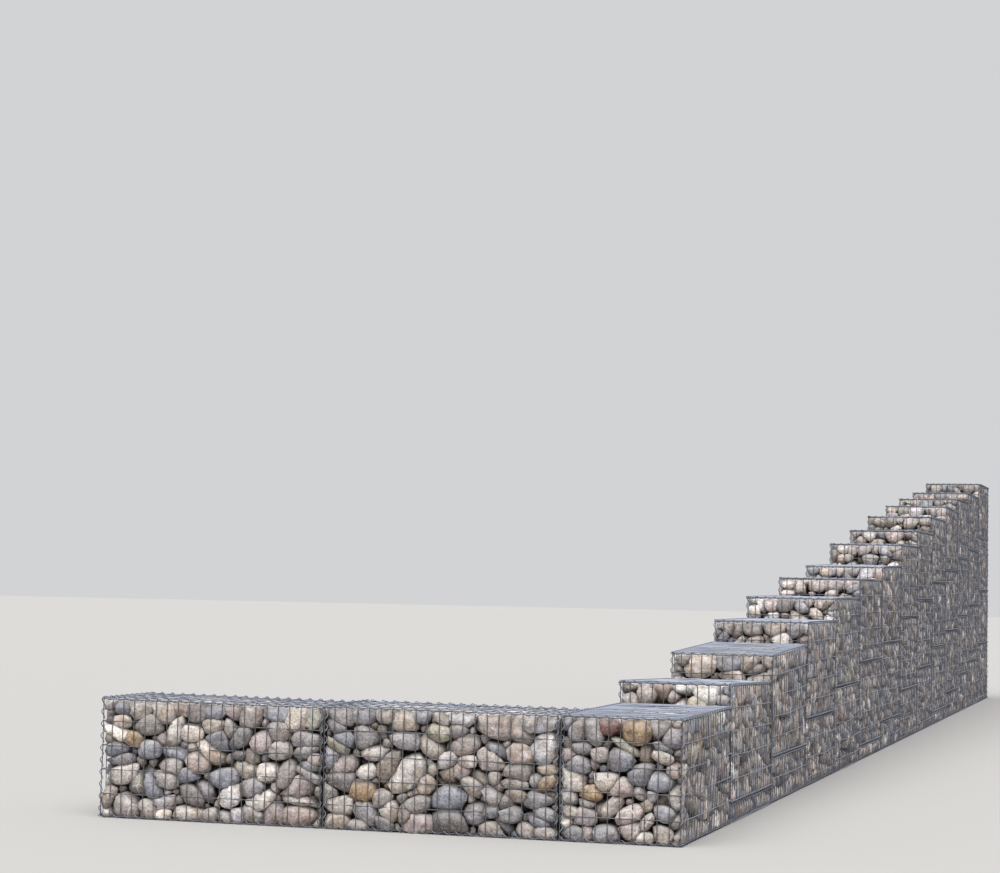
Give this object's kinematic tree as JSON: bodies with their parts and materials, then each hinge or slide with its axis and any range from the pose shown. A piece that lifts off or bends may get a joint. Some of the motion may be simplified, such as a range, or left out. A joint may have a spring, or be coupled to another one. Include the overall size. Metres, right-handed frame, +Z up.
{
  "type": "gabion wall",
  "caption": "Stepped gabion wall of welded wire baskets packed with river cobbles, with a short front wall at its low end.",
  "frame": {"origin": "middle of the wall's box, on the level ground that its lowest edges stand on", "axes": "+Y back along the steps, which rise that way, +X along the front wall away from its free end, +Z up"},
  "size_m": [2.5, 14, 2.045],
  "materials": {
    "mesh": "galvanised, dulled to a blue grey",
    "cobbles": "rounded, dry and matt"
  },
  "bodies": {
    "root": {"front_basket_1": "mesh", "front_basket_2": "mesh", "corner_basket": "mesh", "step_basket_1": "mesh", "step_basket_2": "mesh", "step_basket_3": "mesh", "step_basket_4": "mesh", "step_basket_5": "mesh", "step_basket_6": "mesh", "step_basket_7": "mesh", "step_basket_8": "mesh", "step_basket_9": "mesh", "step_basket_10": "mesh", "step_basket_11": "mesh", "step_basket_12": "mesh", "step_basket_13": "mesh", "front_stones_1": "cobbles", "front_stones_2": "cobbles", "corner_stones": "cobbles", "step_stones_1": "cobbles", "step_stones_2": "cobbles", "step_stones_3": "cobbles", "step_stones_4": "cobbles", "step_stones_5": "cobbles", "step_stones_6": "cobbles", "step_stones_7": "cobbles", "step_stones_8": "cobbles", "step_stones_9": "cobbles", "step_stones_10": "cobbles", "step_stones_11": "cobbles", "step_stones_12": "cobbles", "step_stones_13": "cobbles", "lower_stones_1": "cobbles", "lower_stones_2": "cobbles", "lower_stones_3": "cobbles", "lower_stones_4": "cobbles", "lower_stones_5": "cobbles", "lower_stones_6": "cobbles", "lower_stones_7": "cobbles", "lower_stones_8": "cobbles", "lower_stones_9": "cobbles", "lower_stones_10": "cobbles", "lower_stones_11": "cobbles", "lower_stones_12": "cobbles", "lower_stones_13": "cobbles"}
  },
  "joints": []
}
